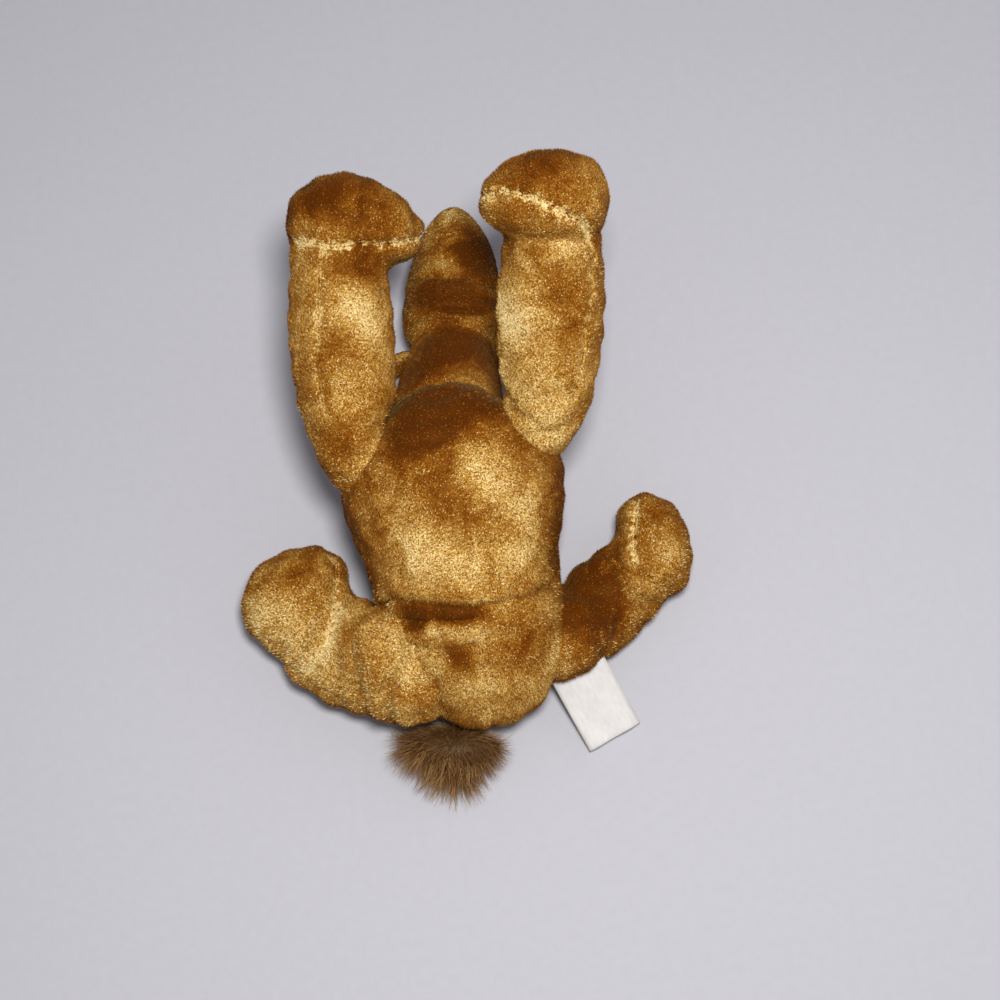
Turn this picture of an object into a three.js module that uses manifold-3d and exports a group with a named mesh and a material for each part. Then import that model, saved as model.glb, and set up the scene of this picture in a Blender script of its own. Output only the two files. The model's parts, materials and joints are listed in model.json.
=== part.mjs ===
// A bean-bag plush camel lying on its back: belly up, forelegs stretched past the head, hind legs splayed.
// Each stuffed form is made as it is sewn: two cloth panels that meet at seams, round a filling.
// Millimetres, +Z up, head towards +Y, the camel's own left towards +X.
import * as THREE from "three";
import { mergeVertices } from "three/addons/utils/BufferGeometryUtils.js";
import Module from "manifold-3d";

const wasm = await Module();
wasm.setup();

// Cloth and fits
const PLUSH = 1.8; // cloth with its pile
const SEAM_GAP = 0.3; // between two panels along a seam
const FILL_GAP = 0.3; // between a filling and what is round it
const JOINT_GAP = 0.6; // between a form and the larger one that it turns against
const FLOOR_FLAT = 0.5; // how deep a soft form is pressed flat where it rests

// Torso, from the rump to the chest, leaning back on its hump
const TORSO_LENGTH = 118;
const TORSO_TILT = 20; // degrees off the floor
const TORSO_LEAN = -6; // of the chest, towards the camel's right
const TORSO_STATIONS = [
  { at: 0, across: 30, front: 26, back: 25 },
  { at: 0.2, across: 32.5, front: 28, back: 27 },
  { at: 0.45, across: 33, front: 30, back: 27 },
  { at: 0.7, across: 37, front: 31, back: 26 },
  { at: 0.88, across: 33, front: 29, back: 25 },
  { at: 1, across: 25, front: 24, back: 22 },
];
const HUMP_AT = 70; // along the spine
const HUMP_HALF_WIDTH = 19;
const HUMP_HALF_LENGTH = 27;
const PELLETS_TO = 62; // the pellets fill the rump up to here, and fibre the chest

// Neck
const NECK_ROOT = [-8, 84, -3]; // in the torso's frame: across, along the spine, towards the belly
const NECK_JOINT = [0, 101, -12];
const NECK_INTO_HEAD = 6; // past the head's joint
const NECK_STATIONS = [
  { at: 0, across: 25, front: 21, back: 20 },
  { at: 0.5, across: 19, front: 17, back: 17 },
  { at: 1, across: 17, front: 16, back: 16 },
];
const NECK_BEND = [-10, 14];

// Head, resting on its crown
const HEAD_LENGTH = 67;
const HEAD_REACH = 141; // from the rump to the head's joint, over the floor
const HEAD_TURN = 6; // to the camel's left, in degrees
const HEAD_STATIONS = [
  { at: 0, across: 16.5, front: 16, back: 17 },
  { at: 0.3, across: 19, front: 17, back: 18 },
  { at: 0.55, across: 16.5, front: 15, back: 14.5 },
  { at: 0.8, across: 14.2, front: 14, back: 12.5 },
  { at: 1, across: 9, front: 11, back: 9 },
];
const HEAD_JOINT = 12; // from the back of the head
const HEAD_NOD = [-10, 14];

// Eyes, with a shank through the cloth and a lock washer behind it
const EYE_AT = 27; // from the back of the head
const EYE_DROP = 5; // towards the crown
const EYE_RADIUS = 3.6;
const EYE_HEIGHT = 2.4;
const SHANK_RADIUS = 1.5;
const SHANK_LENGTH = 7;
const SHANK_CLEARANCE = 0.3;
const WASHER_RADIUS = 5;
const WASHER_THICKNESS = 1.2;

// Ears, each an outer leaf and a lining
const EAR_LENGTH = 21;
const EAR_AT = 18; // from the back of the head
const EAR_DROP = 8;
const EAR_ROOT = 4; // inside the head's outline, before the ear is cut to it
const EAR_SWEEP = 0.5; // how much it points back
const EAR_STATIONS = [
  { at: 0, across: 6.5, front: 2.2, back: 2.2 },
  { at: 0.5, across: 7.5, front: 2.4, back: 2.4 },
  { at: 1, across: 4.5, front: 2, back: 2 },
];
const EAR_FLAP = [-15, 25];

// Forelock, between the ears
const FORELOCK_FROM = 30; // from the back of the head
const FORELOCK_TO = 52;
const FORELOCK_HALF_WIDTH = 9;
const FORELOCK_THICKNESS = 2.6;

// Legs: a tube with a foot at its end, [root, end] of the tube and [heel, toe] of the foot
const LEG_STATIONS = [
  { at: 0, across: 12.5, front: 12, back: 12 },
  { at: 0.3, across: 17, front: 14.5, back: 14 },
  { at: 0.7, across: 17.8, front: 15, back: 14.5 },
  { at: 1, across: 16.5, front: 15, back: 14.5 },
];
const FOOT_STATIONS = [
  { at: 0, across: 15, front: 15, back: 14 },
  { at: 0.45, across: 17.5, front: 16, back: 15 },
  { at: 0.8, across: 13.6, front: 14.5, back: 13 },
  { at: 1, across: 9.5, front: 11, back: 10 },
];
const SHOULDER_SWING = [-12, 30];
const HIP_SPLAY = [-6, 24];
const HAUNCH_STATIONS = [
  { at: 0, across: 15, front: 14, back: 14 },
  { at: 0.4, across: 18, front: 15, back: 14 },
  { at: 0.75, across: 18, front: 15, back: 14 },
  { at: 1, across: 17, front: 14, back: 14 },
];
// Points in the torso's frame: across, along the spine from the rump, towards the belly. The pellets have
// run more into one leg than into another, and fill says how thick that makes it.
const LEGS = [
  {
    name: "foreleg_left",
    root: [28, 88, 8],
    end: [40, 182, 23],
    heel: [57, 170, 26],
    toe: [15, 172, 28],
    facing: [0, 1, 0],
    joint: [29, 97, 8],
  },
  {
    name: "foreleg_right",
    root: [-38, 83, 8],
    end: [-34.5, 184, 6],
    heel: [-50, 179, 5],
    toe: [-5, 166, 5],
    facing: [0, 0, 1],
    joint: [-38, 94, 8],
  },
  {
    name: "hindleg_left",
    root: [20, 22, -3],
    end: [61, 52, -16],
    heel: [62.5, 35, -16],
    toe: [59, 72.5, -24],
    facing: [1, 0, 0],
    joint: [22, 19, -3],
    hind: true,
    fill: 0.86,
  },
  {
    name: "hindleg_right",
    root: [-19, 15, 3],
    end: [-69, 43, -16],
    heel: [-77, 35, -16],
    toe: [-48, 63, -18],
    facing: [0, 0, 1],
    joint: [-22, 15, -3],
    hind: true,
    fill: 1.05,
  },
];

// Tail: a short cloth root and a long-pile tuft
const TAIL_ROOT = [-5, 8, -12];
const TAIL_END = [-12, 1, -10];
const TAIL_RADIUS = 5;
const TUFT_END = [-17, -24, -7];
const TUFT_STATIONS = [
  { at: 0, across: 9, front: 5, back: 5 },
  { at: 0.35, across: 20.5, front: 9, back: 7 },
  { at: 0.75, across: 17, front: 8, back: 6 },
  { at: 1, across: 7, front: 5, back: 4 },
];
const TAIL_SWING = [-10, 15];

// Sewn label, folded over at its outer end
const LABEL_ROOT = [30, 16, -8];
const LABEL_END = [42, -8, -9];
const LABEL_WIDTH = 20;
const LABEL_CLOTH = 0.4;
const LABEL_FOLD = 0.7; // radius inside the fold
const LABEL_FLAP = [-20, 20];

// Sides and rings of the forms' faceting
const TORSO_FACETS = { sides: 20, rings: 16 };
const HUMP_FACETS = { sides: 16, rings: 11 };
const NECK_FACETS = { sides: 16, rings: 12 };
const HEAD_FACETS = { sides: 18, rings: 13 };
const LEG_FACETS = { sides: 15, rings: 11 };
const TUFT_FACETS = { sides: 14, rings: 9 };
const LEAF_FACETS = { sides: 12, rings: 8 };
const TAIL_FACETS = { sides: 10, rings: 7 };
const COARSER = 5; // how many sides and rings the inside of a form has less than its outside

// How round a form's closed ends are: 2 is a ball, and more is a fuller cushion
const DOME = 2.5;
const HUMP_DOME = 2.2;
const LEAF_DOME = 2;

const TAU = 2 * Math.PI;
const SWEEP_STEP = 15; // degrees between the places of a form in its swing
const TURNED_SIDES = 12; // of an eye, a shank or a washer
const EYE_STEPS = 4; // of an eye's curve, from its rim to its middle
const RIM_POINTS = 8; // of a washer, where the cloth above it is looked for
const FOLD_STEPS = 4; // of the label's fold
const SETTLING_ROUNDS = 4; // in which the hump's height is found
const PROBE_RADIUS = 0.2; // of the thin rod that finds where a form's surface lies
const rad = THREE.MathUtils.degToRad;
const vec = (point) => new THREE.Vector3(...point);

// A three.js geometry as a solid
function solid(geometry) {
  const bare = geometry.clone();
  bare.deleteAttribute("normal");
  bare.deleteAttribute("uv");
  const merged = mergeVertices(bare, 1e-4);
  return new wasm.Manifold(
    new wasm.Mesh({
      numProp: 3,
      vertProperties: merged.attributes.position.array,
      triVerts: new Uint32Array(merged.index.array),
    }),
  );
}

// A solid as a three.js geometry
function geometryOf(shape) {
  const { numProp, vertProperties, triVerts } = shape.getMesh();
  const points = new THREE.InterleavedBuffer(vertProperties, numProp);
  const geometry = new THREE.BufferGeometry();
  geometry.setAttribute("position", new THREE.InterleavedBufferAttribute(points, 3, 0));
  geometry.setIndex(new THREE.BufferAttribute(triVerts, 1));
  geometry.computeVertexNormals();
  return geometry;
}

const moved = (shape, matrix) => shape.transform(matrix.elements);

// The frame of a form that runs from one point towards another, with its front towards a direction
function along(from, to, front) {
  const up = to.clone().sub(from).normalize();
  const side = up.clone().cross(front).normalize();
  const back = up.clone().cross(side);
  return new THREE.Matrix4().makeBasis(side, back, up).setPosition(from);
}

// Rings of an egg-shaped section, closed by a dome at each end: a positive inset makes the form smaller
function swell({ from, to, front, stations, sides, rings, dome = DOME }, inset = 0) {
  const places = stations.map(({ at }) => at);
  const girths = stations.flatMap(({ across, front, back }) => [across, front, back]);
  const sizes = new THREE.CubicInterpolant(places, girths, girths.length / places.length);
  const length = from.distanceTo(to);
  const points = [0, 0, inset];
  for (let ring = 1; ring < rings; ring++) {
    const share = (1 - Math.cos((Math.PI * ring) / rings)) / 2;
    const closing = (1 - Math.abs(2 * share - 1) ** dome) ** (1 / dome);
    const [across, ahead, behind] = sizes.evaluate(share);
    for (let side = 0; side < sides; side++) {
      const turn = (TAU * (side + 0.5)) / sides;
      const reach = Math.sin(turn) < 0 ? ahead : behind;
      points.push(
        Math.cos(turn) * closing * (across - inset),
        Math.sin(turn) * closing * (reach - inset),
        inset + share * (length - 2 * inset),
      );
    }
  }
  points.push(0, 0, length - inset);
  const at = (ring, side) => 1 + (ring - 1) * sides + (side % sides);
  const last = points.length / 3 - 1;
  const faces = [];
  for (let side = 0; side < sides; side++) {
    faces.push(0, at(1, side + 1), at(1, side));
    for (let ring = 1; ring < rings - 1; ring++) {
      const [a, b] = [at(ring, side), at(ring, side + 1)];
      const [c, d] = [at(ring + 1, side + 1), at(ring + 1, side)];
      faces.push(a, b, c, a, c, d);
    }
    faces.push(at(rings - 1, side), at(rings - 1, side + 1), last);
  }
  const geometry = new THREE.BufferGeometry();
  geometry.setAttribute("position", new THREE.Float32BufferAttribute(points, 3));
  return moved(solid(geometry.setIndex(faces)), along(from, to, front));
}

// A big block on the far side of a plane through a point
function halfSpace(point, normal) {
  const size = 1000;
  const block = solid(new THREE.BoxGeometry(size, size, size).translate(0, 0, size / 2));
  const turn = new THREE.Quaternion().setFromUnitVectors(vec([0, 0, 1]), normal.clone().normalize());
  return moved(block, new THREE.Matrix4().compose(point, turn, vec([1, 1, 1])));
}

const UP = vec([0, 0, 1]);
const below = (height) => halfSpace(vec([0, 0, height]), UP.clone().negate());

// A form where it goes as it turns about a joint, so that its smaller neighbour can be cut clear of it
function swept(shape, joint, axis, [least, most]) {
  const steps = Math.ceil((most - least) / SWEEP_STEP);
  let all = shape;
  for (let step = 0; step <= steps; step++) {
    const turn = rad(least + ((most - least) * step) / steps);
    const matrix = new THREE.Matrix4()
      .makeTranslation(joint)
      .multiply(new THREE.Matrix4().makeRotationAxis(axis, turn))
      .multiply(new THREE.Matrix4().makeTranslation(joint.clone().negate()));
    all = all.add(moved(shape, matrix));
  }
  return all;
}
const reverse = ([least, most]) => [-most, -least];

// Several swellings as one form, pressed flat on the floor. Its coarse version has fewer and larger faces.
function joined(forms, inset = 0, coarse = false) {
  const shapes = forms.map((form) => {
    const [sides, rings] = [form.sides - COARSER, form.rings - COARSER];
    return swell(coarse ? { ...form, sides, rings } : form, inset);
  });
  return shapes.reduce((all, shape) => all.add(shape));
}

// One sewn form: its outside, its cloth and its filling, both cut clear of its larger neighbours,
// and the room that it takes when a smaller neighbour is cut
function sewn(forms, cuts = []) {
  const clear = (shape) => cuts.reduce((left, tool) => left.subtract(tool), shape);
  const inner = (inset) => joined(forms, inset, true).subtract(below(inset));
  const inside = inner(PLUSH);
  const outside = joined(forms).subtract(below(0));
  return {
    forms,
    outside,
    inside,
    cloth: clear(outside.subtract(inside)),
    filling: clear(inner(PLUSH + FILL_GAP)),
    room: joined(forms, -JOINT_GAP),
  };
}

// The cloth of a form as two panels: the one that the normal points to, and the other
function panels(form, point, normal) {
  const half = normal.clone().normalize().multiplyScalar(SEAM_GAP / 2);
  const behind = halfSpace(point.clone().add(half), normal.clone().negate());
  const ahead = halfSpace(point.clone().sub(half), normal);
  return [form.cloth.subtract(behind), form.cloth.subtract(ahead)];
}

// How far a shape reaches from a point along a direction
function reach(shape, point, direction) {
  const probe = turned(rod(PROBE_RADIUS, 0, TORSO_LENGTH), point, direction);
  const corner = new THREE.Vector3();
  const corners = geometryOf(shape.intersect(probe)).getAttribute("position");
  const reaches = Array.from({ length: corners.count }, (_, index) =>
    corner.set(corners.getX(index), corners.getY(index), corners.getZ(index)).sub(point).dot(direction),
  );
  return Math.max(...reaches);
}

// A turned shape along a direction from a point
function turned(profile, point, direction) {
  const points = profile.map(([radius, height]) => new THREE.Vector2(radius, height));
  const geometry = new THREE.LatheGeometry(points, TURNED_SIDES).rotateX(TAU / 4);
  const turn = new THREE.Quaternion().setFromUnitVectors(UP, direction);
  return moved(solid(geometry), new THREE.Matrix4().compose(point, turn, vec([1, 1, 1])));
}
const rod = (radius, from, to) => [[0, from], [radius, from], [radius, to], [0, to]];

const lowest = (form) => swell(form).boundingBox().min[2];

// A form at the height where the floor presses it flat
function settled(form) {
  const lift = -lowest(form) - FLOOR_FLAT;
  const [from, to] = [form.from, form.to].map((end) => end.clone().addScaledVector(UP, lift));
  return { ...form, from, to };
}

// The torso's frame: the spine leans back, and the rump rests on the floor
const X = vec([1, 0, 0]);
const tilt = rad(TORSO_TILT);
const SPINE = vec([0, Math.cos(tilt), Math.sin(tilt)]);
const BELLY = vec([0, -Math.sin(tilt), Math.cos(tilt)]);
const torsoForm = (lift) => ({
  from: vec([0, 0, lift]),
  to: vec([TORSO_LEAN, 0, lift]).addScaledVector(SPINE, TORSO_LENGTH),
  front: BELLY,
  stations: TORSO_STATIONS,
  ...TORSO_FACETS,
});
const lift = -lowest(torsoForm(0)) - FLOOR_FLAT;
const inTorso = ([across, up, out]) =>
  vec([across, 0, lift]).addScaledVector(SPINE, up).addScaledVector(BELLY, out);

// The hump is as high as it has to be to rest on the floor
function humpForm(height) {
  const girth = { across: HUMP_HALF_WIDTH, front: HUMP_HALF_LENGTH, back: HUMP_HALF_LENGTH };
  const stations = [{ at: 0, ...girth }, { at: 1, ...girth }];
  const across = (TORSO_LEAN * HUMP_AT) / TORSO_LENGTH;
  const ends = { from: inTorso([across, HUMP_AT, 0]), to: inTorso([across, HUMP_AT, -height]) };
  return { ...ends, front: SPINE, stations, dome: HUMP_DOME, ...HUMP_FACETS };
}
let humpHeight = TORSO_STATIONS[2].back;
for (let round = 0; round < SETTLING_ROUNDS; round++)
  humpHeight += (lowest(humpForm(humpHeight)) + FLOOR_FLAT) / Math.cos(tilt);

const torso = sewn([torsoForm(lift), humpForm(humpHeight)]);

// The head rests on its crown in front of the chest, its jaw up
const headAim = vec([Math.sin(rad(HEAD_TURN)), Math.cos(rad(HEAD_TURN)), 0]);
const headSide = headAim.clone().cross(UP);
const headJoint = vec([0, HEAD_REACH, 0]);
function headForm(height) {
  const from = headJoint.clone().addScaledVector(headAim, -HEAD_JOINT).setZ(height);
  const to = from.clone().addScaledVector(headAim, HEAD_LENGTH);
  return { from, to, front: UP, stations: HEAD_STATIONS, ...HEAD_FACETS };
}
headJoint.setZ(-lowest(headForm(0)) - FLOOR_FLAT);
const headShape = headForm(headJoint.z);
const head = sewn([headShape]);
const inHead = (forward, across, jaw) =>
  headJoint
    .clone()
    .addScaledVector(headAim, forward - HEAD_JOINT)
    .addScaledVector(headSide, across)
    .addScaledVector(UP, jaw);

// The neck, between the chest and the back of the head
const neckJoint = inTorso(NECK_JOINT);
const neckFrom = inTorso(NECK_ROOT);
const neckRun = headJoint.clone().sub(neckFrom).normalize();
const neckTo = headJoint.clone().addScaledVector(neckRun, NECK_INTO_HEAD);
const neckForm = { from: neckFrom, to: neckTo, front: BELLY, stations: NECK_STATIONS, ...NECK_FACETS };
const neck = sewn([neckForm], [
  swept(torso.room, neckJoint, X, reverse(NECK_BEND)),
  swept(head.room, headJoint, X, HEAD_NOD),
]);

// Looks of the materials
const LOOKS = {
  plush: { color: 0xc4812f, roughness: 0.95 },
  fibre: { color: 0xf2efe6, roughness: 1 },
  pellets: { color: 0xe9e4d8, roughness: 0.6 },
  fur: { color: 0x74502f, roughness: 1 },
  eye: { color: 0x120c08, roughness: 0.15 },
  washer: { color: 0xf4f4f0, roughness: 0.5 },
  satin: { color: 0xf0eeea, roughness: 0.45 },
};

// A moving part of the camel: its group stands at its joint and turns about the joint's axis
function member(parent, name, joint, axis, range) {
  const group = new THREE.Group();
  group.name = name;
  group.position.copy(joint).sub(parent.userData.joint);
  group.userData = { joint, axis: axis.toArray(), range };
  parent.add(group);
  return group;
}

// Scraps of a few hundredths of a millimetre that a cut leaves at an edge are dropped with the offcut
function piece(member, name, look, shape) {
  const [whole] = shape.decompose().sort((a, b) => b.volume() - a.volume());
  const geometry = geometryOf(whole).translate(...member.userData.joint.clone().negate().toArray());
  geometry.computeVertexNormals();
  const mesh = new THREE.Mesh(geometry, new THREE.MeshStandardMaterial(LOOKS[look]));
  mesh.name = name;
  member.add(mesh);
}

function addTorso(camel) {
  const spine = inTorso([TORSO_LEAN, TORSO_LENGTH, 0]).sub(inTorso([0, 0, 0]));
  const [left, right] = panels(torso, inTorso([0, 0, 0]), spine.cross(BELLY));
  piece(camel, "torso_left", "plush", left);
  piece(camel, "torso_right", "plush", right);
  const chest = inTorso([0, PELLETS_TO + FILL_GAP, 0]);
  const rump = inTorso([0, PELLETS_TO, 0]);
  piece(camel, "torso_pellets", "pellets", torso.filling.subtract(halfSpace(rump, SPINE)));
  const rest = halfSpace(chest, SPINE.clone().negate());
  piece(camel, "torso_fibre", "fibre", torso.filling.subtract(rest));
}

function addNeck(parent) {
  const body = member(parent, "neck", neckJoint, X, NECK_BEND);
  const [left, right] = panels(neck, headJoint, neckRun.clone().cross(BELLY));
  piece(body, "neck_left", "plush", left);
  piece(body, "neck_right", "plush", right);
  piece(body, "neck_fibre", "fibre", neck.filling);
  return body;
}

// Eye: a dome outside, a shank through the cloth and a washer pushed on behind it
function eyeAt(out) {
  const base = inHead(EYE_AT, 0, -EYE_DROP);
  const skin = reach(head.outside, base, out);
  const rim = [...Array(RIM_POINTS).keys()].map((step) => {
    const spoke = UP.clone().applyAxisAngle(out, (TAU * step) / RIM_POINTS);
    return reach(head.inside, base.clone().addScaledVector(spoke, WASHER_RADIUS), out);
  });
  const behind = Math.min(...rim) - FILL_GAP;
  const front = behind - WASHER_THICKNESS;
  const bore = SHANK_RADIUS + SHANK_CLEARANCE;
  const tip = skin - SHANK_LENGTH;
  const dome = [[0, skin - EYE_HEIGHT], [EYE_RADIUS, skin - EYE_HEIGHT]];
  for (let step = 0; step < EYE_STEPS; step++) {
    const turn = (step * TAU) / 4 / EYE_STEPS;
    dome.push([EYE_RADIUS * Math.cos(turn), skin + EYE_HEIGHT * Math.sin(turn)]);
  }
  dome.push([0, skin + EYE_HEIGHT]);
  const section = [[bore, front], [WASHER_RADIUS, front], [WASHER_RADIUS, behind], [bore, behind]];
  const ring = [...section, section[0]];
  const shank = turned(rod(SHANK_RADIUS, tip, skin + EYE_HEIGHT / 2), base, out);
  return {
    eye: turned(dome, base, out).subtract(joined([headShape], -SEAM_GAP)).add(shank),
    washer: turned(ring, base, out),
    hole: turned(rod(bore, tip - FILL_GAP, skin + EYE_HEIGHT), base, out),
    pocket: turned(rod(WASHER_RADIUS + FILL_GAP, front - FILL_GAP, skin), base, out),
  };
}

// Ear: an outer leaf and a lining, sewn on along one edge
function addEar(parent, side, sign, out) {
  const point = out.clone().addScaledVector(headAim, -EAR_SWEEP).normalize();
  const joint = inHead(EAR_AT, 0, -EAR_DROP);
  joint.addScaledVector(point, reach(head.outside, joint, point));
  const face = UP.clone().cross(point).multiplyScalar(-sign);
  const axis = UP.clone().multiplyScalar(sign);
  const ear = member(parent, "ear_" + side, joint, axis, EAR_FLAP);
  const ends = [-EAR_ROOT, EAR_LENGTH].map((at) => joint.clone().addScaledVector(point, at));
  const shape = { from: ends[0], to: ends[1], front: face, stations: EAR_STATIONS, dome: LEAF_DOME };
  const room = swept(head.room, joint, axis, reverse(EAR_FLAP));
  const leaf = swell({ ...shape, ...LEAF_FACETS }).subtract(room);
  const half = face.clone().multiplyScalar(SEAM_GAP / 2);
  const behind = halfSpace(joint.clone().add(half), face.clone().negate());
  const ahead = halfSpace(joint.clone().sub(half), face);
  piece(ear, "ear_lining_" + side, "plush", leaf.subtract(behind));
  piece(ear, "ear_outer_" + side, "plush", leaf.subtract(ahead));
}

// Forelock: long pile pushed forward onto the brow by the head's weight
function forelock() {
  const [from, to] = [FORELOCK_FROM, FORELOCK_TO].map((at) =>
    inHead(at, 0, 0).setZ(FORELOCK_THICKNESS + FLOOR_FLAT),
  );
  const [thin, thick] = [FORELOCK_THICKNESS, 2 * FORELOCK_THICKNESS];
  const girth = { across: FORELOCK_HALF_WIDTH, front: thick, back: thin };
  const stations = [{ at: 0, ...girth }, { at: 1, ...girth }];
  const lock = swell({ from, to, front: UP, stations, ...LEAF_FACETS });
  return lock.subtract(joined([headShape], -SEAM_GAP));
}

function addHead(parent) {
  const body = member(parent, "head", headJoint, X, HEAD_NOD);
  const skins = panels(head, headJoint, headSide);
  let fibre = head.filling;
  for (const [index, side] of ["left", "right"].entries()) {
    const sign = index ? -1 : 1;
    const out = headSide.clone().multiplyScalar(sign);
    const { eye, washer, hole, pocket } = eyeAt(out);
    piece(body, "eye_" + side, "eye", eye);
    piece(body, "eye_washer_" + side, "washer", washer);
    piece(body, "head_" + side, "plush", skins[index].subtract(hole));
    fibre = fibre.subtract(hole).subtract(pocket);
    addEar(body, side, sign, out);
  }
  piece(body, "head_fibre", "fibre", fibre);
  piece(body, "forelock", "fur", forelock());
}

// A form's stations where the pellets make it thicker or thinner
const filled = (stations, fill) =>
  stations.map(({ at, across, front, back }) => ({
    at,
    across: fill * across,
    front: fill * front,
    back: fill * back,
  }));

// Leg: its seam runs round it in the plane of its tube and foot
function addLeg(parent, { name, root, end, heel, toe, facing, joint, hind, fill = 1 }) {
  const [from, to, back, front, pivot] = [root, end, heel, toe, joint].map(inTorso);
  const ahead = inTorso(facing).sub(inTorso([0, 0, 0]));
  const axis = hind ? UP.clone().multiplyScalar(-Math.sign(joint[0])) : X;
  const range = hind ? HIP_SPLAY : SHOULDER_SWING;
  const stations = filled(hind ? HAUNCH_STATIONS : LEG_STATIONS, fill);
  const tube = { from, to, front: BELLY, stations, ...LEG_FACETS };
  const toes = filled(FOOT_STATIONS, fill);
  const foot = { from: back, to: front, front: ahead, stations: toes, ...LEG_FACETS };
  const room = swept(torso.room, pivot, axis, reverse(range));
  const leg = sewn(hind ? [settled(tube), settled(foot)] : [tube, foot], [room]);
  const normal = to.clone().sub(from).cross(front.clone().sub(back)).normalize();
  if (normal.z < 0) normal.negate();
  const body = member(parent, name, pivot, axis, range);
  const [upper, lower] = panels(leg, to, normal);
  piece(body, name + "_upper", "plush", upper);
  piece(body, name + "_lower", "plush", lower);
  piece(body, name + "_pellets", "pellets", leg.filling);
  return { ...leg, room, member: body };
}

// Tail: its root is a stuffed cloth tube, and the tuft is sewn over its end
function addTail(parent) {
  const [root, end, tip] = [TAIL_ROOT, TAIL_END, TUFT_END].map(inTorso);
  const body = member(parent, "tail", root, UP, TAIL_SWING);
  const room = swept(torso.room, root, UP, reverse(TAIL_SWING)).add(below(0));
  const girth = { across: TAIL_RADIUS, front: TAIL_RADIUS, back: TAIL_RADIUS };
  const stations = [{ at: 0, ...girth }, { at: 1, ...girth }];
  const tube = { from: root, to: end, front: BELLY, stations, ...TAIL_FACETS };
  const tuft = settled({ from: end, to: tip, front: BELLY, stations: TUFT_STATIONS, ...TUFT_FACETS });
  piece(body, "tail_tuft", "fur", swell(tuft).subtract(room));
  piece(body, "tail_root", "plush", swell(tube).subtract(room).subtract(swell(tuft, -FILL_GAP)));
}

// Label: a satin strip folded in two, both ends sewn into the left hind leg's seam
function addLabel(leg) {
  const [root, end] = [LABEL_ROOT, LABEL_END].map(inTorso);
  const length = root.distanceTo(end);
  const outer = LABEL_FOLD + LABEL_CLOTH;
  const strip = new THREE.Shape();
  strip.moveTo(0, -outer).lineTo(length, -outer);
  strip.absarc(length, 0, outer, -TAU / 4, TAU / 4).lineTo(0, outer);
  strip.lineTo(0, LABEL_FOLD).lineTo(length, LABEL_FOLD);
  strip.absarc(length, 0, LABEL_FOLD, TAU / 4, -TAU / 4, true).lineTo(0, -LABEL_FOLD);
  const woven = { depth: LABEL_WIDTH, bevelEnabled: false, curveSegments: FOLD_STEPS };
  const folded = new THREE.ExtrudeGeometry(strip, woven);
  folded.translate(0, 0, -LABEL_WIDTH / 2);
  const run = end.clone().sub(root).normalize();
  const wide = run.clone().cross(UP).normalize();
  const matrix = new THREE.Matrix4().makeBasis(run, wide.clone().cross(run), wide).setPosition(root);
  const body = member(leg.member, "label", root, wide, LABEL_FLAP);
  const room = swept(joined(leg.forms, -JOINT_GAP), root, wide, reverse(LABEL_FLAP));
  piece(body, "label", "satin", moved(solid(folded), matrix).subtract(room).subtract(leg.room));
}

const camel = new THREE.Group();
camel.userData.joint = vec([0, 0, 0]);
addTorso(camel);
addHead(addNeck(camel));
const legs = LEGS.map((leg) => addLeg(camel, leg));
addTail(camel);
addLabel(legs.find((leg) => leg.member.name === "hindleg_left"));

// The part's origin is on the floor under the middle of its outline
const box = new THREE.Box3().setFromObject(camel, true);
const middle = box.getCenter(vec([0, 0, 0]));
camel.position.set(-middle.x, -middle.y, -box.min.z);

export default camel;
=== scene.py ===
"""Looks of the plush camel: velour skins, fur tuft, eyes, ears and label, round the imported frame."""
import json
import math

import bmesh
import bpy
import numpy as np
from mathutils import Matrix, Vector


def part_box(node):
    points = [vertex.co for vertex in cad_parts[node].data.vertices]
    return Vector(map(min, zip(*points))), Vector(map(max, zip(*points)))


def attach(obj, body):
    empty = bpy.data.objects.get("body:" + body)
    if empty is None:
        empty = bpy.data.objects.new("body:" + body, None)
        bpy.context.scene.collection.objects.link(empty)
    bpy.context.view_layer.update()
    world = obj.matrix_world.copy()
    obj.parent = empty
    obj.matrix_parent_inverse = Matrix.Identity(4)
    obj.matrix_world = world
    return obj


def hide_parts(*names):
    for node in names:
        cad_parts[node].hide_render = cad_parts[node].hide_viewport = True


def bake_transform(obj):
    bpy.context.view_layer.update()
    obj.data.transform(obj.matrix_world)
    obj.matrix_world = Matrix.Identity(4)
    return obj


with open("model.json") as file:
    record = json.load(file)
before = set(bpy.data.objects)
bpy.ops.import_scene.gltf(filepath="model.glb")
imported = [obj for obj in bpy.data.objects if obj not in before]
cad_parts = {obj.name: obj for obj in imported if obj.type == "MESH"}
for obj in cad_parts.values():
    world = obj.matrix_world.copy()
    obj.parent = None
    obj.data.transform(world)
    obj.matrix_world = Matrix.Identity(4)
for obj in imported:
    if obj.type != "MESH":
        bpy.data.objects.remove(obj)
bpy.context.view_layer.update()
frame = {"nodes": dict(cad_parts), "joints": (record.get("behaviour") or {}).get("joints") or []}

MM = 0.001
JOINTS = {joint["name"]: joint for joint in frame["joints"]}


# Places: the torso's own frame, whose spine rises from the rump on the floor to the neck

SPINE_RISES = math.radians(20)
SPINE = np.array([0, math.cos(SPINE_RISES), math.sin(SPINE_RISES)])
BELLY = np.array([0, -math.sin(SPINE_RISES), math.cos(SPINE_RISES)])
ACROSS = np.array([1.0, 0, 0])
NECK_ALONG = 101 * MM
NECK_BEHIND = 12 * MM
LEAN = 6 / 118  # how far the chest lies to the camel's right, for each length along the spine


def joint_at(name):
    return np.array(JOINTS[name]["pos_m"])


RUMP = joint_at("neck_bend") - NECK_ALONG * SPINE + NECK_BEHIND * BELLY


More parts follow.
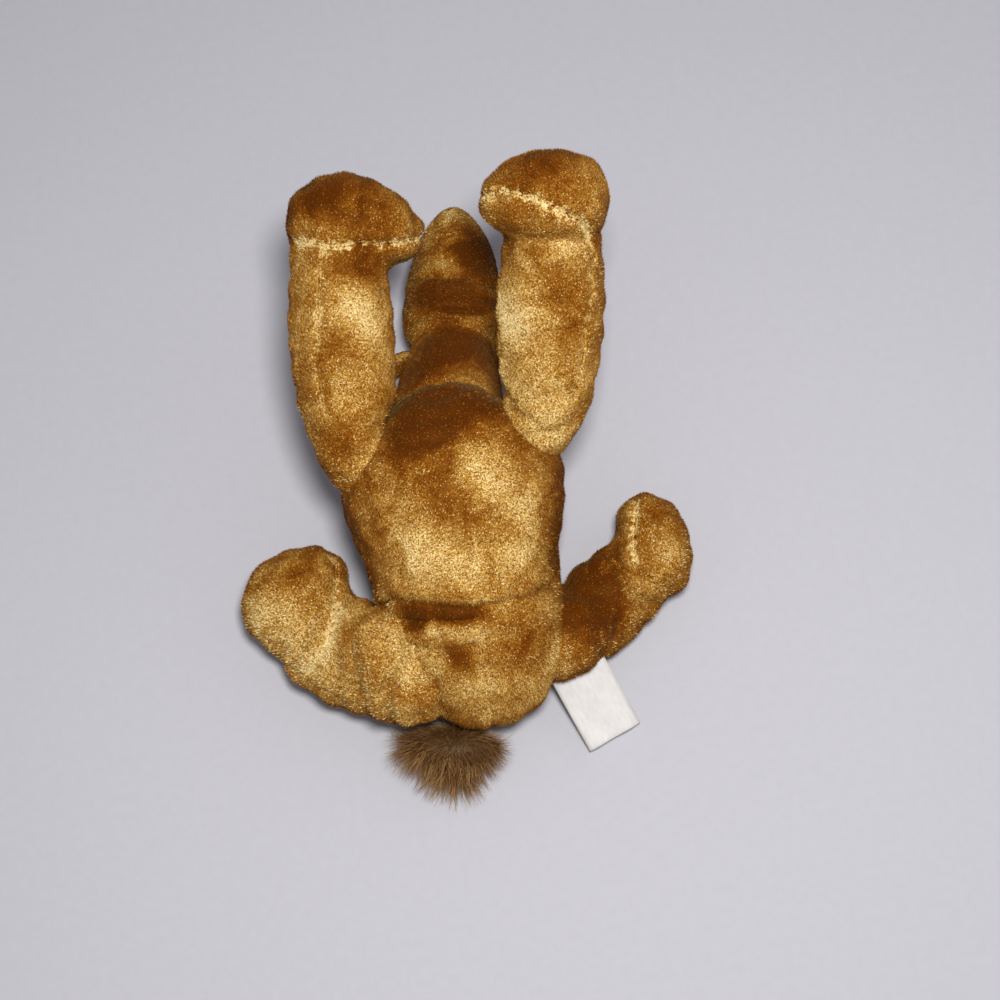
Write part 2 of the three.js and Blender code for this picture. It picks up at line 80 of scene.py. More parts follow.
def in_torso(across, along, out):
    """A point given in millimetres: across, along the spine from the rump, towards the belly."""
    return RUMP + MM * (across * ACROSS + along * SPINE + out * BELLY)


def unit(vector):
    return vector / np.linalg.norm(vector)


# Meshes

CLOTH_THICKNESS = 0.3 * MM  # a skin lies this far outside its solids
SAME_POINT = 1e-6
FLOOR_GAP = 0.1 * MM
ON_FLOOR = 1.5 * MM  # cloth below this height rests on the floor
BODY_VOXEL = 1.5 * MM
HEAD_VOXEL = 1.8 * MM
TAIL_VOXEL = 1.2 * MM
EAR_VOXEL = 1.0 * MM


def new_object(name, mesh):
    piece = bpy.data.objects.new(name, mesh)
    bpy.context.scene.collection.objects.link(piece)
    return piece


def baked(piece):
    """The piece's mesh with its modifiers applied, and the modifiers gone."""
    graph = bpy.context.evaluated_depsgraph_get()
    mesh = bpy.data.meshes.new_from_object(piece.evaluated_get(graph), depsgraph=graph)
    piece.modifiers.clear()
    piece.data = mesh
    return piece


def points_of(mesh):
    flat = np.empty(3 * len(mesh.vertices))
    mesh.vertices.foreach_get("co", flat)
    return flat.reshape(-1, 3)


def normals_of(mesh):
    flat = np.empty(3 * len(mesh.vertices), np.float32)
    mesh.vertex_normals.foreach_get("vector", flat)
    return flat.reshape(-1, 3).astype(float)


def set_points(mesh, points):
    mesh.vertices.foreach_set("co", points.ravel())
    mesh.update()


def store(mesh, name, values):
    """Keeps one number or one vector for each vertex."""
    kind, key = ("FLOAT", "value") if values.ndim == 1 else ("FLOAT_VECTOR", "vector")
    layer = mesh.attributes.get(name) or mesh.attributes.new(name, kind, "POINT")
    layer.data.foreach_set(key, values.astype(np.float32).ravel())


def on_floor(mesh):
    """What would reach below the floor lies on it."""
    points = points_of(mesh)
    points[:, 2] = np.maximum(points[:, 2], FLOOR_GAP)
    set_points(mesh, points)


def smooth_shaded(mesh):
    mesh.polygons.foreach_set("use_smooth", [True] * len(mesh.polygons))


def placed(centre, axis, radii):
    """The matrix that makes a unit ball an egg at a place, its third radius along the axis."""
    turn = Vector(axis).to_track_quat("Z", "Y").to_matrix().to_4x4()
    return Matrix.Translation(Vector(centre)) @ turn @ Matrix.Diagonal((*radii, 1))


def gathered(name, nodes, balls):
    """One form's CAD solids as one mesh, a little fuller, with balls that root it in its neighbour."""
    form = bmesh.new()
    for node in nodes:
        part = bmesh.new()
        part.from_mesh(frame["nodes"][node].data)
        bmesh.ops.remove_doubles(part, verts=part.verts, dist=SAME_POINT)
        part.normal_update()
        for vertex in part.verts:
            vertex.co += vertex.normal * CLOTH_THICKNESS
        copy = bpy.data.meshes.new("part")
        part.to_mesh(copy)
        part.free()
        form.from_mesh(copy)
        bpy.data.meshes.remove(copy)
    for centre, radii, axis in balls:
        bmesh.ops.create_icosphere(form, subdivisions=3, radius=1, matrix=placed(centre, axis, radii))
    mesh = bpy.data.meshes.new(name)
    form.to_mesh(mesh)
    form.free()
    return new_object(name, mesh)


def largest_shell(mesh):
    """Only the outermost closed surface stays."""
    form = bmesh.new()
    form.from_mesh(mesh)
    form.verts.ensure_lookup_table()
    seen, shells = set(), []
    for start in form.verts:
        if start.index in seen:
            continue
        shell, stack = [], [start]
        seen.add(start.index)
        while stack:
            vertex = stack.pop()
            shell.append(vertex)
            for edge in vertex.link_edges:
                other = edge.other_vert(vertex)
                if other.index not in seen:
                    seen.add(other.index)
                    stack.append(other)
        shells.append(shell)
    shells.sort(key=len)
    for shell in shells[:-1]:
        bmesh.ops.delete(form, geom=shell, context="VERTS")
    form.to_mesh(mesh)
    form.free()


def skin(name, nodes, balls=(), voxel=BODY_VOXEL, rounds=12):
    """One closed smooth skin round the CAD solids of a form."""
    piece = gathered(name, nodes, balls)
    remesh = piece.modifiers.new("skin", "REMESH")
    remesh.mode = "VOXEL"
    remesh.voxel_size = voxel
    baked(piece)
    largest_shell(piece.data)
    rounded = piece.modifiers.new("rounded", "SMOOTH")
    rounded.factor = 0.5
    rounded.iterations = rounds
    return baked(piece)


def finer(piece):
    smoother = piece.modifiers.new("finer", "SUBSURF")
    smoother.levels = smoother.render_levels = 1
    baked(piece)
    smooth_shaded(piece.data)


# Loose cloth: worked out ten times as large, which suits the solver

SIM_SCALE = 10
SIM_FRAMES = 20
SOLVER = dict(quality=4, mass=0.3, bending_stiffness=0.4, use_pressure=True, uniform_pressure_force=4)
UNEVEN = 0.25 * MM  # small waves that the puckers start from
UNEVEN_WAVES = 700
UNEVEN_SHIFT = np.array([0.2, 1.7, 3.9])


def relaxed(piece, held, slack, cap):
    """Loose cloth: it has more area than the form, is held along its seams, and puckers between them."""
    mesh = piece.data
    before, normals = points_of(mesh), normals_of(mesh)
    waves = np.sin(before * UNEVEN_WAVES + UNEVEN_SHIFT).sum(axis=1)
    set_points(mesh, (before + UNEVEN * waves[:, None] * normals) * SIM_SCALE)
    sewn = piece.vertex_groups.new(name="sewn")
    for index in np.flatnonzero(held):
        sewn.add([int(index)], 1.0, "REPLACE")
    cloth = piece.modifiers.new("cloth", "CLOTH")
    for setting, value in SOLVER.items():
        setattr(cloth.settings, setting, value)
    cloth.settings.shrink_min = cloth.settings.shrink_max = -slack
    cloth.settings.vertex_group_mass = "sewn"
    cloth.settings.effector_weights.gravity = 0
    cloth.point_cache.frame_start = 1
    cloth.point_cache.frame_end = SIM_FRAMES
    for moment in range(1, SIM_FRAMES + 1):
        bpy.context.scene.frame_set(moment)
    baked(piece)
    bpy.context.scene.frame_set(1)
    piece.vertex_groups.clear()
    # the whole skin neither swells nor shrinks, and no point strays further than the cap
    move = points_of(piece.data) / SIM_SCALE - before
    move -= np.median((move * normals).sum(axis=1)) * normals
    size = np.linalg.norm(move, axis=1)
    move *= (np.minimum(size, cap) / np.maximum(size, 1e-9))[:, None]
    set_points(piece.data, before + move)


# Sewing

# the roll of cloth beside a groove, in the groove's depths and widths
ROLL_HEIGHT, ROLL_AT, ROLL_WIDTH = 0.45, 2.6, 1.5


def path_offset(points, path):
    """Each point's distance from a path, how far along it the nearest place is, and the offset from there."""
    best = np.full(len(points), 1e9)
    along = np.zeros(len(points))
    offset = np.zeros((len(points), 3))
    start = 0.0
    for a, b in zip(path[:-1], path[1:]):
        run = b - a
        length = np.linalg.norm(run)
        share = np.clip((points - a) @ run / length**2, 0, 1)
        away = points - a - share[:, None] * run
        far = np.linalg.norm(away, axis=1)
        nearer = far < best
        best[nearer] = far[nearer]
        along[nearer] = (start + share * length)[nearer]
        offset[nearer] = away[nearer]
        start += length
    return best, along, offset


def valley(far, depth, width):
    """A sewn-in line: a groove with a soft roll of cloth on both sides."""
    roll = ROLL_HEIGHT * depth * np.exp(-(((far - ROLL_AT * width) / (ROLL_WIDTH * width)) ** 2))
    return roll - depth * np.exp(-((far / width) ** 2))


def on_surface(points, path, step=1.5 * MM, reach=1.2 * MM):
    """A path given in the torso's frame, laid onto the surface that has these points."""
    corners = [in_torso(*point) for point in path]
    laid = []
    for a, b in zip(corners[:-1], corners[1:]):
        count = max(2, round(np.linalg.norm(b - a) / step))
        for share in np.arange(count) / count:
            place = a + share * (b - a)
            nearest = points[np.argmin(np.linalg.norm(points - place, axis=1))]
            laid.append(points[np.linalg.norm(points - nearest, axis=1) < reach].mean(axis=0))
    middles = [(a + 2 * b + c) / 4 for a, b, c in zip(laid[:-2], laid[1:-1], laid[2:])]
    return [laid[0], *middles, laid[-1]]


# Materials


def shader(name, **sockets):
    look = bpy.data.materials.new(name)
    look.use_nodes = True
    surface = look.node_tree.nodes["Principled BSDF"]
    for label, value in sockets.items():
        surface.inputs[label.replace("_", " ")].default_value = value
    return look, look.node_tree, surface


def add(tree, kind, settings=None, **sockets):
    """A node with its settings and its inputs; i0, i1 and so on name an input by its number."""
    node = tree.nodes.new(kind)
    for key, value in (settings or {}).items():
        setattr(node, key, value)
    for label, value in sockets.items():
        name = label.replace("_", " ")
        target = node.inputs[int(name[1:])] if name[0] == "i" and name[1:].isdigit() else node.inputs[name]
        if isinstance(value, bpy.types.NodeSocket):
            tree.links.new(value, target)
        else:
            target.default_value = value
    return node


def ramp(tree, share, stops):
    node = add(tree, "ShaderNodeValToRGB", Fac=share)
    row = node.color_ramp.elements
    while len(row) < len(stops):
        row.new(0.5)
    for element, (at, colour) in zip(row, stops):
        element.position = at
        element.color = (*colour, 1)
    return node.outputs["Color"]


def maths(tree, operation, a, b):
    return add(tree, "ShaderNodeMath", {"operation": operation}, i0=a, i1=b).outputs[0]


def graded(tree, value, times, plus=0.0):
    return add(tree, "ShaderNodeMath", {"operation": "MULTIPLY_ADD"}, i0=value, i1=times, i2=plus).outputs[0]


def between(tree, value, low, high):
    """0 at low and 1 at high, with a soft change between them."""
    settings = {"interpolation_type": "SMOOTHSTEP"}
    return add(tree, "ShaderNodeMapRange", settings, Value=value, i1=low, i2=high).outputs[0]


def object_place(tree):
    return add(tree, "ShaderNodeTexCoord").outputs["Object"]


def noise(tree, place, scale, **sockets):
    return add(tree, "ShaderNodeTexNoise", Vector=place, Scale=scale, **sockets).outputs["Fac"]


# from the pile's root, seen against the nap, to its shining tips
VELOUR = [
    (0.0, (0.105, 0.021, 0.0004)),
    (0.18, (0.21, 0.050, 0.0012)),
    (0.36, (0.36, 0.140, 0.012)),
    (0.52, (0.51, 0.265, 0.046)),
    (0.70, (0.74, 0.48, 0.130)),
    (0.87, (0.98, 0.76, 0.31)),
    (1.0, (1.0, 0.86, 0.48)),
]
PATCHES = dict(scale=70, Detail=5, Roughness=0.62, Distortion=0.9)
BREAKS = dict(scale=340, Detail=4, Roughness=0.65)
GRAIN = dict(scale=1300, Detail=2, Roughness=0.7)
CELLS = 3400
# painted highlights and painted shade along a sewn line, by the distance from it in millimetres
FLANK, FLANK_BREAKS = (3.4, 0.7), (0.47, 0.63)
EDGE, EDGE_BREAKS, EDGE_SHINE = (1.2, 0.5), (0.36, 0.52), 0.75
BOTTOM, GROOVE_SHADE_AMOUNT = (0.5, 0.1), 0.6
SPARKLING, SPARKLE = 0.97, 0.32  # painted glints: blades with a chance above the first are lightened by the second
CHANCE_SHARE, GRAIN_SHARE, NAP_SHARE = 0.7, 0.9, 0.86
SPECKS_ON_PALE, SPECKS_ON_DARK = 1.35, 0.15


def velour(name, loose):
    """Short shiny pile: rust seen against its lay, pale gold along it, in patches of brushing and of painted
    shade, with painted glints and a bright grain.
    """
    look, tree, surface = shader(
        name,
        Roughness=0.6,
        Specular_IOR_Level=0.2,
        Specular_Tint=(1.0, 0.68, 0.2, 1),
        Sheen_Weight=0.34,
        Sheen_Roughness=0.35,
        Sheen_Tint=(0.55, 0.62, 0.20, 1),
    )

    def kept(label):
        return add(tree, "ShaderNodeAttribute", {"attribute_name": label}).outputs["Fac"]

    place = object_place(tree)
    nap_and_painted_light = maths(tree, "ADD", noise(tree, place, **PATCHES), kept("brushed_and_shaded"))
    # painted light along a sewn line: painted shade in its bottom and a broken painted highlight on each
    # flank
    line = kept("seam")
    broken = noise(tree, place, **BREAKS)
    flank = maths(tree, "MULTIPLY", between(tree, line, *FLANK), between(tree, broken, *FLANK_BREAKS))
    edge = maths(tree, "MULTIPLY", between(tree, line, *EDGE), between(tree, broken, *EDGE_BREAKS))
    glint = maths(tree, "MAXIMUM", flank, graded(tree, edge, EDGE_SHINE))
    groove_shade = graded(tree, between(tree, line, *BOTTOM), GROOVE_SHADE_AMOUNT)
    seam_light_and_shade = maths(tree, "MULTIPLY", maths(tree, "SUBTRACT", glint, groove_shade), kept("shine"))
    nap_and_painted_light = add(tree, "ShaderNodeClamp", Value=maths(tree, "ADD", nap_and_painted_light, seam_light_and_shade), Min=0.0, Max=1.0).outputs[0]
    # each blade, or each cell of the backing, has a tone of its own, more so where the pile is pale
    if loose:
        chance = kept("blade")
    else:
        cells = add(tree, "ShaderNodeTexVoronoi", Vector=place, Scale=CELLS)
        chance = add(tree, "ShaderNodeSeparateColor", Color=cells.outputs["Color"]).outputs[0]
    grain = noise(tree, place, **GRAIN)
    speck = graded(tree, chance, CHANCE_SHARE, -CHANCE_SHARE / 2)
    speck = maths(tree, "ADD", speck, graded(tree, grain, GRAIN_SHARE, -GRAIN_SHARE / 2))
    speck = maths(tree, "MULTIPLY", speck, graded(tree, nap_and_painted_light, SPECKS_ON_PALE, SPECKS_ON_DARK))
    # painted glints on a few blades
    sparkle = graded(tree, maths(tree, "GREATER_THAN", chance, SPARKLING), SPARKLE)
    tone = maths(tree, "ADD", maths(tree, "ADD", graded(tree, nap_and_painted_light, NAP_SHARE), speck), sparkle)
    tree.links.new(ramp(tree, tone, VELOUR), surface.inputs["Base Color"])
    if not loose:
        bump = add(tree, "ShaderNodeBump", Height=speck, Strength=0.5, Distance=0.4 * MM)
        tree.links.new(bump.outputs["Normal"], surface.inputs["Normal"])
    return look


PLUSH = velour("plush_backing", loose=False)
PILE = velour("plush_pile", loose=True)


# Pile and fur

# the shortest and the longest, in the given length
BLADE_SIZES = (0.6, 1.15)
STRAND_SIZES = (0.45, 1.1)
STRAND_ROWS = 5
STRAND_TAPERS = 0.85


def growth_tree(name, sizes):
    """A tree of geometry nodes with a named input for each size, a seed and a material."""
    tree = bpy.data.node_groups.new(name, "GeometryNodeTree")
    face = tree.interface
    face.new_socket("Geometry", in_out="INPUT", socket_type="NodeSocketGeometry")
    for label in sizes:
        face.new_socket(label, in_out="INPUT", socket_type="NodeSocketFloat")
    face.new_socket("Seed", in_out="INPUT", socket_type="NodeSocketInt")
    face.new_socket("Material", in_out="INPUT", socket_type="NodeSocketMaterial")
    face.new_socket("Geometry", in_out="OUTPUT", socket_type="NodeSocketGeometry")
    return tree, tree.nodes.new("NodeGroupInput").outputs


def chance_of(tree, given, low, high):
    settings = {"data_type": "FLOAT"}
    return add(tree, "FunctionNodeRandomValue", settings, i2=low, i3=high, Seed=given["Seed"]).outputs[1]


def named(tree, label, kind="FLOAT"):
    return add(tree, "GeometryNodeInputNamedAttribute", {"data_type": kind}, Name=label).outputs[0]


def scattered(tree, given):
    """Random places on the skin, and how what stands there is turned: along the lay, a little at random."""

    def scaled(a, times):
        node = add(tree, "ShaderNodeVectorMath", {"operation": "SCALE"}, i0=a)
        tree.links.new(times, node.inputs["Scale"])
        return node.outputs[0]

    def summed(a, b):
        return add(tree, "ShaderNodeVectorMath", {"operation": "ADD"}, i0=a, i1=b).outputs[0]

    seed = given["Seed"]
    dots = add(
        tree, "GeometryNodeDistributePointsOnFaces",
        Mesh=given["Geometry"], Density=given["Density"], Seed=seed,
    ).outputs
    stray = add(
        tree, "FunctionNodeRandomValue", {"data_type": "FLOAT_VECTOR"},
        Min=(-1, -1, -1), Max=(1, 1, 1), Seed=seed,
    ).outputs[0]
    way = summed(dots["Normal"], scaled(named(tree, "lay", "FLOAT_VECTOR"), given["Lean"]))
    way = summed(way, scaled(stray, given["Scatter"]))
    turn = add(tree, "FunctionNodeAlignRotationToVector", {"axis": "Z"}, Vector=way).outputs[0]
    spin = chance_of(tree, given, 0.0, 2 * math.pi)
    roll = add(tree, "FunctionNodeAxisAngleToRotation", Axis=(0, 0, 1), Angle=spin).outputs[0]
    local = {"rotation_space": "LOCAL"}
    turn = add(tree, "FunctionNodeRotateRotation", local, Rotation=turn, Rotate_By=roll).outputs[0]
    return dots["Points"], turn


def planted(tree, given, points, one, turn, size):
    """One blade or strand set on each point, numbered for its tone, as plain mesh that ends the tree."""
    many = add(
        tree, "GeometryNodeInstanceOnPoints", Points=points, Instance=one, Rotation=turn, Scale=size
    ).outputs[0]
    marked = add(
        tree, "GeometryNodeStoreNamedAttribute", {"data_type": "FLOAT", "domain": "INSTANCE"},
        Geometry=many, Name="blade", Value=chance_of(tree, given, 0.0, 1.0),
    ).outputs[0]
    loose = add(tree, "GeometryNodeRealizeInstances", Geometry=marked).outputs[0]
    finished = add(tree, "GeometryNodeSetMaterial", Geometry=loose, Material=given["Material"]).outputs[0]
    add(tree, "NodeGroupOutput", Geometry=finished)
    return tree


def blade_tree():
    """Blades of pile on a skin, each a narrow triangle."""
    tree, given = growth_tree("pile", ("Density", "Length", "Width", "Lean", "Scatter"))
    points, turn = scattered(tree, given)
    size = add(tree, "ShaderNodeCombineXYZ", X=given["Length"], Y=given["Width"], Z=1.0).outputs[0]
    leaf = add(tree, "GeometryNodeMeshCircle", {"fill_type": "NGON"}, Vertices=3, Radius=1.0).outputs[0]
    for step in ({"Translation": (0.5, 0, 0)}, {"Scale": size}, {"Rotation": (0, -math.pi / 2, 0)}):
        leaf = add(tree, "GeometryNodeTransform", Geometry=leaf, **step).outputs[0]
    return planted(tree, given, points, leaf, turn, chance_of(tree, given, *BLADE_SIZES))


def strand_tree():
    """Long fur: strips that taper to their tips and bend sideways, longer where the reach is larger."""
    tree, given = growth_tree("fur", ("Density", "Length", "Width", "Lean", "Scatter", "Bend"))
    points, turn = scattered(tree, given)
    sizes = dict(Size_X=given["Width"], Size_Y=given["Length"], Vertices_X=2, Vertices_Y=STRAND_ROWS)
    strip = add(tree, "GeometryNodeMeshGrid", **sizes).outputs[0]
    at = add(tree, "ShaderNodeSeparateXYZ", Vector=add(tree, "GeometryNodeInputPosition").outputs[0]).outputs
    share = maths(tree, "ADD", maths(tree, "DIVIDE", at["Y"], given["Length"]), 0.5)
    taper = maths(tree, "SUBTRACT", 1.0, maths(tree, "MULTIPLY", share, STRAND_TAPERS))
    rise = maths(tree, "MULTIPLY", share, given["Length"])
    bow = maths(tree, "MULTIPLY", maths(tree, "MULTIPLY", share, share), given["Bend"])
    aside = maths(tree, "MULTIPLY", at["X"], taper)
    curve = add(tree, "ShaderNodeCombineXYZ", X=aside, Y=bow, Z=rise).outputs[0]
    strip = add(tree, "GeometryNodeSetPosition", Geometry=strip, Position=curve).outputs[0]
    size = maths(tree, "MULTIPLY", named(tree, "reach"), chance_of(tree, given, *STRAND_SIZES))
    return planted(tree, given, points, strip, turn, size)


BLADES = blade_tree()
STRANDS = strand_tree()


def grown(base, name, tree, **sizes):
    """What a tree of geometry nodes grows on a skin, as a plain mesh of its own."""
    piece = new_object(name, base.data.copy())
    growth = piece.modifiers.new("growth", "NODES")
    growth.node_group = tree
    for item in tree.interface.items_tree:
        if item.in_out == "INPUT" and item.name in sizes:
            growth[item.identifier] = sizes[item.name]
    baked(piece)
    on_floor(piece.data)
    return piece


# Forms. All places are in the torso's frame, in millimetres

# each leg's ball roots it in the torso: how far along the leg from its root, inward and towards the belly
LEGS = {
    "foreleg_left": dict(
        root=(28, 88, 8), end=(40, 182, 23), heel=(57, 170, 26), toe=(15, 172, 28),
        ball=(12, 5, -3), radii=(12, 12, 14), rounds=12, joint="foreleg_left_swing",
    ),
    "foreleg_right": dict(
        root=(-38, 83, 8), end=(-34.5, 184, 6), heel=(-50, 179, 5), toe=(-5, 166, 5),
        ball=(12, 5, -3), radii=(12, 12, 14), rounds=12, joint="foreleg_right_swing",
    ),
    "hindleg_left": dict(
        root=(20, 22, -3), end=(61, 52, -16), heel=(62.5, 35, -16), toe=(59, 72.5, -24),
        ball=(9, 0, 2), radii=(14, 14, 18), rounds=30, joint="hindleg_left_splay",
    ),
    "hindleg_right": dict(
        root=(-19, 15, 3), end=(-69, 43, -16), heel=(-77, 35, -16), toe=(-48, 63, -18),
        ball=(9, 0, 3), radii=(16, 16, 17), rounds=30, joint="hindleg_right_splay",
    ),
}
# the cloth bunched between the right thigh and the body
THIGH_BALL = ("hindleg_right", (-32, 30, 6), (15, 15, 16))

# where the pile is brushed dark (below 0) or pale, and where shade is painted in dark spots under the belly
# fold, in the right thigh's folds, down the torso's flanks, under the chin and over the neck: place, radius,
# amount
BRUSHED_AND_SHADED = {
    "torso": [
        ((-4, 109, 17), 26, -0.50), ((-13, 100, 22), 13, -0.30), ((6, 89, 27), 12, 0.42),
        ((-4, 75, 30), 9, -0.30), ((-17, 59, 28), 13, 0.23), ((18, 68, 24), 12, 0.16),
        # painted shadow: the darkest spots in this row and the next lie under the belly fold
        ((-25, 80, 22), 10, 0.15), ((4, 53, 29), 8, 0.08), ((-20, 41.5, 21), 7, -0.75),
        ((-10, 40, 26), 6, -0.80), ((-1, 40, 27.5), 5, -0.50), ((-9, 34, 26.5), 4.5, 0.50),
        ((-16, 36.5, 24.5), 4.5, 0.45), ((-2, 34.5, 27), 4, 0.30), ((-8, 27.5, 24.3), 6, -0.45),
        ((14, 31, 23), 9, -0.25), ((-8, 14, 18), 8, 0.25), ((22, 24, 12), 8, 0.15), ((16, 55, 27), 8, 0.12),
        # painted shade: the dark spots in this row and the next lie down the flanks
        ((-38, 69, 8), 14, -0.34), ((34, 80, 6), 9, -0.40), ((34, 66, 5), 9, -0.40),
        ((33, 54, 5), 8, -0.30), ((27, 67, 16), 7, -0.22),
    ],
    "foreleg_right": [
        ((-40, 185, 15), 15, -0.27), ((-22, 176, 20), 13, -0.30), ((-46, 168, 14), 7, 0.15),
        ((-27, 159, 18), 9, -0.34), ((-29, 146, 20), 8, 0.28), ((-25, 136, 19), 8, 0.24),
        ((-36, 131, 21), 9, -0.30), ((-33, 118, 21), 10, 0.05), ((-30, 112, 20), 7, 0.12),
        ((-39, 103, 18), 12, -0.22), ((-47, 175, 5), 12, -0.20), ((-30, 92, 14), 8, 0.15),
    ],
    "foreleg_left": [
        ((35, 180, 43), 13, -0.40), ((25, 163, 38), 8, -0.12), ((18, 141, 21), 9, 0.28),
        ((20, 131, 24), 12, 0.28), ((37, 140, 31), 11, -0.22), ((36, 126, 29), 10, -0.12),
        ((43, 152, 33), 6, 0.25), ((17, 115, 15), 10, 0.25), ((28, 97, 18), 9, 0.28),
    ],
    "hindleg_right": [
        ((-65, 57, -2), 10, -0.25), ((-74, 44, -2), 11, 0.22), ((-36, 35, 3), 9, -0.20),
        ((-55, 31, 4), 10, 0.22), ((-33, 17, 9), 9, 0.10), ((-26, 33, 16), 7, 0.10),
        # painted shade: the dark spots in this row and the next lie in the thigh's folds
        ((-45, 40, 2), 7, 0.15), ((-37, 36, 5), 4, -0.26), ((-38.5, 28, 9), 4.5, -0.26),
        ((-31, 22, 10), 4.5, -0.30), ((-28, 16, 9), 5, -0.20), ((-45, 35, 6), 4, -0.20),
    ],
    "hindleg_left": [
        ((38, 42, 0), 18, -0.55), ((28, 30, 0), 12, -0.30), ((56, 57, 0), 7, -0.05), ((67, 51, 1), 8, 0.20),
        ((53, 41, -5), 6, 0.25), ((53, 49, -7), 5, 0.15), ((63, 67, -9), 6, -0.30),
    ],
    "head": [
        ((-4, 168, -43.5), 7, -0.10), ((3, 160.5, -39.5), 4.5, 0.34), ((-5, 161.5, -40.5), 5, 0.20),
        ((3.5, 182, -54), 4, 0.30), ((-2, 138.5, -32.5), 6, -0.20), ((12, 168, -46), 9, -0.50),
        ((9.5, 162, -41), 7, -0.35), ((-1, 150, -34), 9, -0.60), ((-9, 154, -39), 9, -0.35),
        ((10, 148, -35), 10, -0.45),
    ],
    # painted shade: the neck is darkened all over
    "neck": [
        ((-5, 128, -22), 9, -0.22), ((9, 131, -25), 11, -0.38), ((-2, 137, -30), 9, -0.22),
        ((-13, 119, -18), 10, -0.38), ((0, 127, -22), 22, -0.10),
    ],
}

# sewn lines and pressed folds: path, depth, width, and how bright the painted highlight along it is
SEAMS = {
    "torso": [([(1, 50, 29), (1, 31, 27), (0, 11, 18), (-1, -3, 0)], 0.8, 1.1, 0.15)],
    "foreleg_right": [
        ([(-52, 172, 6), (-46, 167.5, 14.5), (-34, 164.7, 19.3), (-24, 165, 18.8), (-8, 165.5, 10.5),
          (-3, 168, -4)], 1.1, 1.5, 0.95),
        ([(-38, 164, 19), (-40, 157.7, 20), (-42.6, 138, 20.7), (-44.3, 127, 20.2), (-44, 112, 19)],
         0.4, 0.9, 0.35),
    ],
    "foreleg_left": [
        ([(10, 176, 28), (14, 175, 34), (21, 173.5, 41), (28, 171.4, 42.7), (37, 167, 43.4), (46, 161.3, 38),
          (51, 155, 28)], 1.1, 1.5, 1.0),
        ([(51, 155, 28), (49, 145, 27), (47, 137, 26.5), (43, 121, 25), (36, 104, 19)], 0.4, 0.9, 0.30),
    ],
    "hindleg_right": [
        ([(-49, 67, -17), (-49, 63, -11), (-48, 55, -6), (-48.5, 45, -0.6), (-52, 35, 3.5), (-58, 27, 2),
          (-68, 26, -5)], 1.1, 1.5, 0.42),
        ([(-67, 28, -6), (-54, 19, 1), (-41, 12, 4), (-33, 8.5, 3)], 0.8, 1.0, 0.20),
        ([(-36, 42, -5), (-37.5, 34, 7), (-39, 27, 9), (-42, 18, 8)], 1.3, 2.2, 0.0),
        ([(-27.5, 33, 13), (-30.5, 25, 10), (-32.5, 17.5, 9), (-33, 10, 5)], 1.2, 2.0, 0.0),
    ],
    "hindleg_left": [
        ([(56, 74, -16), (56.7, 67.8, -12), (55, 60.5, -7.7), (54, 54, -6.5), (55, 49, -6)], 0.9, 1.0, 0.60),
        ([(44, 58, -12), (46, 53, -9), (48, 50, -7), (49, 43, -5), (51, 39, -5), (54, 36, -6), (60, 34, -12)],
         2.0, 1.6, 0.0),
    ],
    "head": [
        ([(-1.5, 157, -37), (-2.5, 146, -33)], 0.4, 0.6, 0.25),
        ([(-17, 141, -42), (-8, 144, -36), (-2, 145, -33.5), (5, 144, -33.5), (14, 142, -38)], 1.3, 1.1, 0.0),
        ([(3.5, 184, -58), (3.3, 181, -52.5), (1.5, 176, -47.5)], 0.6, 0.9, 0.30),
        ([(-14, 159, -48), (-11, 158, -43), (-2, 157, -38), (7, 156, -38), (14, 153, -40), (17, 152, -46)],
         1.3, 1.1, 0.10),
    ],
}

# folds that the loose belly hangs in: path, depth, width, and how far the upper side hangs over
FOLDS = [
    ([(-33, 47, 6), (-28.4, 49, 17.6), (-19, 47, 25), (-9.3, 44.8, 28.3), (0.3, 43.4, 28.6), (11.8, 44.5, 26),
      (26, 47.3, 13.7), (31, 49, 4)], 2.8, 1.6, 2.3),
    ([(-30, 42, 13.7), (-18.2, 39.6, 24.2), (-8, 38.6, 27), (-0.9, 38.9, 28)], 1.0, 1.2, 0.7),
    ([(-27.7, 33.4, 13.9), (-14.5, 29.3, 23.6), (-5, 30, 26), (-1.7, 31, 26.4)], 0.9, 1.2, 0.6),
    ([(3, 37, 28), (12, 39.5, 26), (20, 42, 21)], 0.6, 1.0, 0.3),
    ([(-17.2, 20, 17), (-17.2, 14.6, 14.7), (-16, 7, 9)], 1.0, 1.2, 0.0),
]
HELD_FOLDS = 3  # so many of them hold the cloth while it relaxes
FOLD_HOLDS = 1.2 * MM
# beside a fold, in its widths: the upper lip, and the cloth that hangs over
LIP_HEIGHT, LIP_AT, LIP_WIDTH = 0.5, 1.7, 1.2
HANG_AT, HANG_WIDTH, HANG_STARTS = 1.0, 1.1, 2

# where the body is drawn in at the waist and stands out at the shoulders: place, radius, amount
DRAWN = [((31, 52, 8), 15, -4.0), ((31, 92, 4), 12, 3.0), ((-35, 84, 4), 13, 3.5)]

# the two panels' own seam round each form: depth and width, and how near to it the cloth is held
TORSO_SEAM = (0.8 * MM, 0.9 * MM)
LEG_SEAM = (0.3 * MM, 0.8 * MM)
SEAM_HOLDS = 1.0 * MM
ROOT_HOLDS = 8 * MM
TORSO_LOOSE = dict(slack=0.022, cap=2.2 * MM)
LEG_LOOSE = dict(slack=0.018, cap=1.6 * MM)
TORSO_NAP = -SPINE + 0.2 * BELLY
# how far before and past its joint the ends of a root's blend lie; nothing here bends the root
LEG_BENDS = (6 * MM, 12 * MM)
NECK_BENDS = (6 * MM, 10 * MM)

